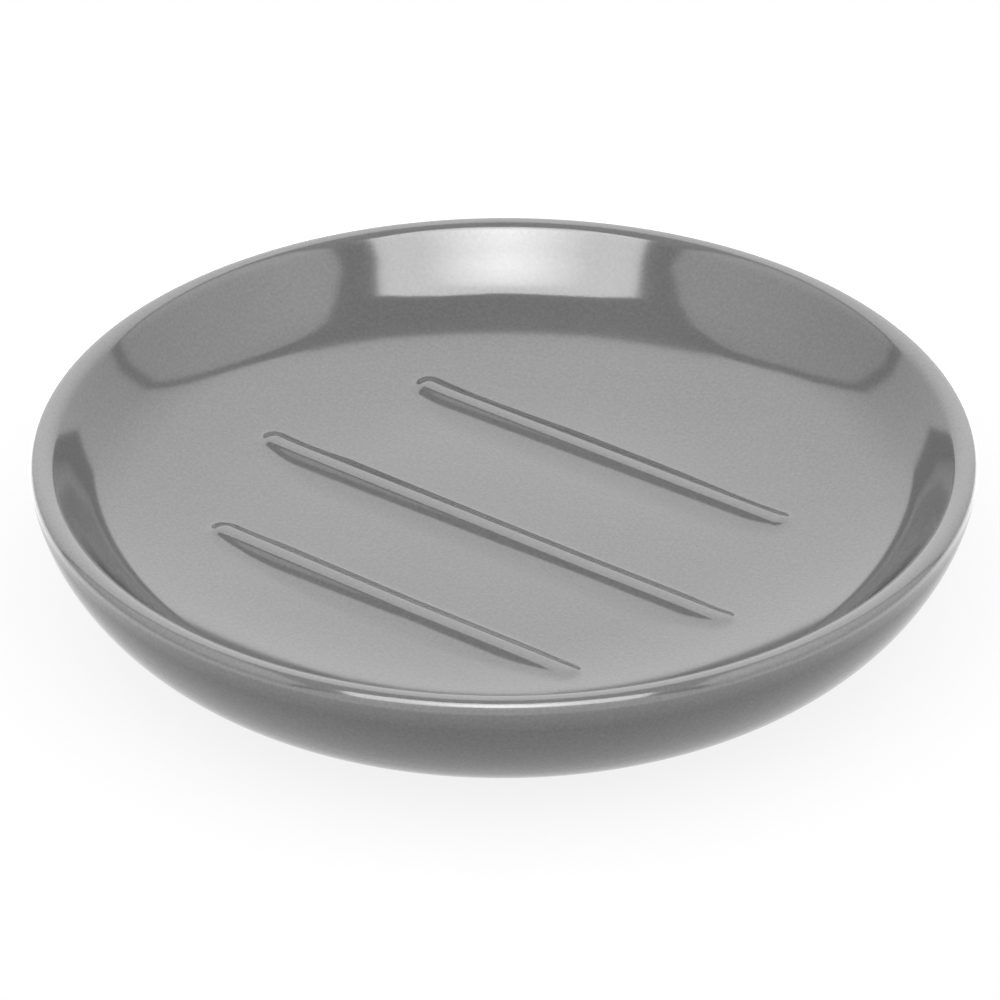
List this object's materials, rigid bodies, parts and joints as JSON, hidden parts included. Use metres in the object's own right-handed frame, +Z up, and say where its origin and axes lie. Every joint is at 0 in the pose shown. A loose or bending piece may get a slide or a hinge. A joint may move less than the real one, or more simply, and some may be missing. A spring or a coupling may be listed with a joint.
{
  "type": "soap dish",
  "caption": "Round shallow ceramic soap dish with a glossy grey glaze, a rolled lip, raised drainage ridges across its floor and stick-on rubber pads inside its foot ring.",
  "frame": {"origin": "on the table, under the centre of the dish", "axes": "+Z up out of the bowl, +X along the drainage ridges"},
  "size_m": [0.1098, 0.1098, 0.02],
  "materials": {
    "glaze": "gloss",
    "pad_rubber": "satin",
    "pad_tape": "satin"
  },
  "bodies": {
    "root": {"dish_body": "glaze", "foot_pad_1": "pad_rubber", "foot_pad_2": "pad_rubber", "foot_pad_3": "pad_rubber", "foot_pad_4": "pad_rubber", "pad_tape_1": "pad_tape", "pad_tape_2": "pad_tape", "pad_tape_3": "pad_tape", "pad_tape_4": "pad_tape"}
  },
  "joints": []
}
